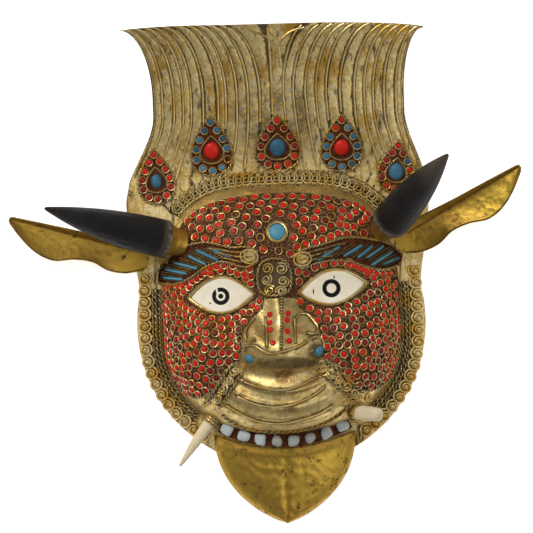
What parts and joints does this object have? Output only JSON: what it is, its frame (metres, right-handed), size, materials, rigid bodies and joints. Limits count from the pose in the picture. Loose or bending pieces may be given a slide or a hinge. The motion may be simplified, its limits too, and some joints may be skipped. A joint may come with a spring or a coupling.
{
  "type": "ritual mask",
  "caption": "Horned demon mask of gilt sheet copper with a crown of hair, coral and turquoise beads, bone eyes, horns, ears, tusks and a chin plate, lying on its back",
  "frame": {"origin": "middle of the footprint, in the plane of the flat back that the mask lies on", "axes": "+Z out of the face, +Y from the chin to the crown, +X to the viewer's right"},
  "size_m": [0.3592, 0.3502, 0.0995],
  "materials": {
    "gilt_copper": "aged gilding, satin, with brown patina in the hollows",
    "old_gilt": "dark aged gilt wire work",
    "lac": "red-brown lac filling, dull",
    "coral": "polished red stone",
    "turquoise": "polished blue-green stone",
    "bone": "smooth bone with fine grain",
    "shell": "bluish white shell",
    "black_horn": "black horn, satin"
  },
  "bodies": {
    "root": {"crown_sheet": "gilt_copper", "face_shell": "gilt_copper", "chin_plate": "gilt_copper", "horn_left": "black_horn", "horn_right": "black_horn", "horn_collar_left": "gilt_copper", "horn_collar_right": "gilt_copper", "ear_left": "gilt_copper", "ear_right": "gilt_copper", "tusk_left": "bone", "tusk_right": "bone", "tusk_socket_left": "old_gilt", "tusk_socket_right": "old_gilt", "eye_left": "bone", "eye_right": "bone", "brow_left": "lac", "brow_right": "lac", "lip_strip_left": "gilt_copper", "lip_strip_right": "gilt_copper", "nose_root_plaque": "gilt_copper", "forehead_stone": "turquoise", "nostril_stone_left": "turquoise", "nostril_stone_right": "turquoise", "forehead_band": "old_gilt", "border_left": "old_gilt", "border_right": "old_gilt", "tooth_bed": "lac", "jewel_tray_1": "lac", "jewel_stone_1": "turquoise", "jewel_tray_2": "lac", "jewel_stone_2": "coral", "jewel_tray_3": "lac", "jewel_stone_3": "turquoise", "jewel_tray_4": "lac", "jewel_stone_4": "coral", "jewel_tray_5": "lac", "jewel_stone_5": "turquoise", "tooth_1": "shell", "tooth_2": "shell", "tooth_3": "shell", "tooth_4": "shell", "tooth_5": "shell", "tooth_6": "shell", "tooth_7": "shell", "tooth_8": "shell"}
  },
  "joints": []
}
